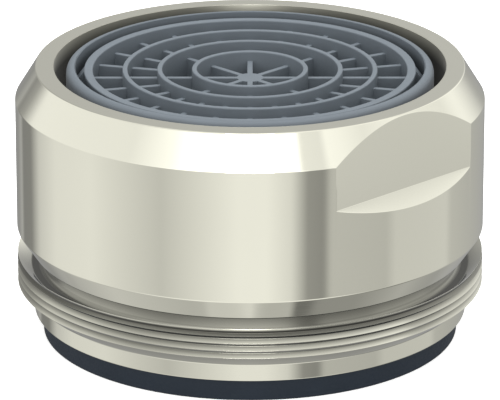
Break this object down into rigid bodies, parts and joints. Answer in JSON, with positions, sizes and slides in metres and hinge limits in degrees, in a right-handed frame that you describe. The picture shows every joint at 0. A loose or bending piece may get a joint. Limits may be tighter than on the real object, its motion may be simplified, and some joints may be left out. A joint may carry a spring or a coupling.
{
  "type": "tap aerator",
  "caption": "Round male-thread tap aerator: polished housing with spanner flats, sealing washer, and a grey plastic insert with a ringed outlet grid.",
  "frame": {"origin": "middle of the sealing washer's underside, on the flow axis", "axes": "+Z along the flow axis from the inlet to the outlet, so the aerator stands inlet down; +X through the middle of one spanner flat"},
  "size_m": [0.024, 0.024, 0.0142],
  "materials": {
    "plated_brass": "polished",
    "washer_rubber": "matte",
    "insert_plastic": "matte"
  },
  "bodies": {
    "root": {"housing": "plated_brass", "sealing_washer": "washer_rubber", "strainer": "insert_plastic", "jet_plate": "insert_plastic", "insert_body": "insert_plastic", "mixing_grid": "insert_plastic", "outlet_grid": "insert_plastic"}
  },
  "joints": []
}
